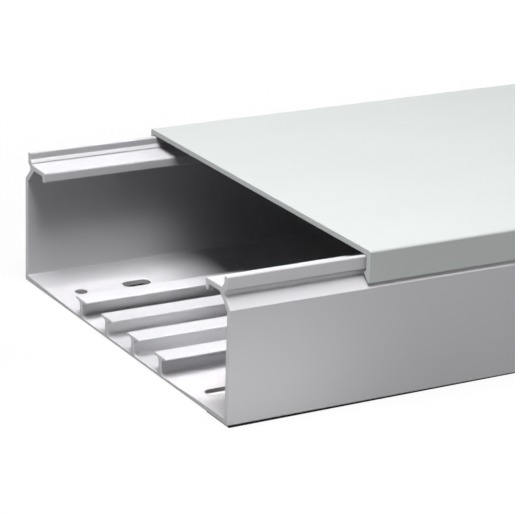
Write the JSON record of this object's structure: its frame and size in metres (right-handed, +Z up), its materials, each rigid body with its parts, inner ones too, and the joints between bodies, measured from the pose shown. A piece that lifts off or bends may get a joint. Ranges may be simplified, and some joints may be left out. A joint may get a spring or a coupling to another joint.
{
  "type": "cord cover raceway",
  "caption": "Wide wall raceway for cords: a rigid trough with divider ribs, screw slots and inner shelves, closed by a clip-on cover that slides along it.",
  "frame": {"origin": "middle of the trough's flat underside", "axes": "+X along the stock from the open end, +Y across from the near wall to the far wall, +Z up through the cover"},
  "size_m": [2.049, 0.15, 0.05],
  "materials": {
    "base_pvc": "light grey rigid PVC, fine satin extrusion finish",
    "cover_pvc": "light grey rigid PVC, fine satin extrusion finish"
  },
  "bodies": {
    "trough": {"trunking_base": "base_pvc"},
    "cover": {"clip_on_cover": "cover_pvc"}
  },
  "joints": [
    {"name": "cover_slide", "type": "slide", "parent": "trough", "child": "cover", "axis": [1, 0, 0], "range_m": [-0.049, 0.951]}
  ]
}
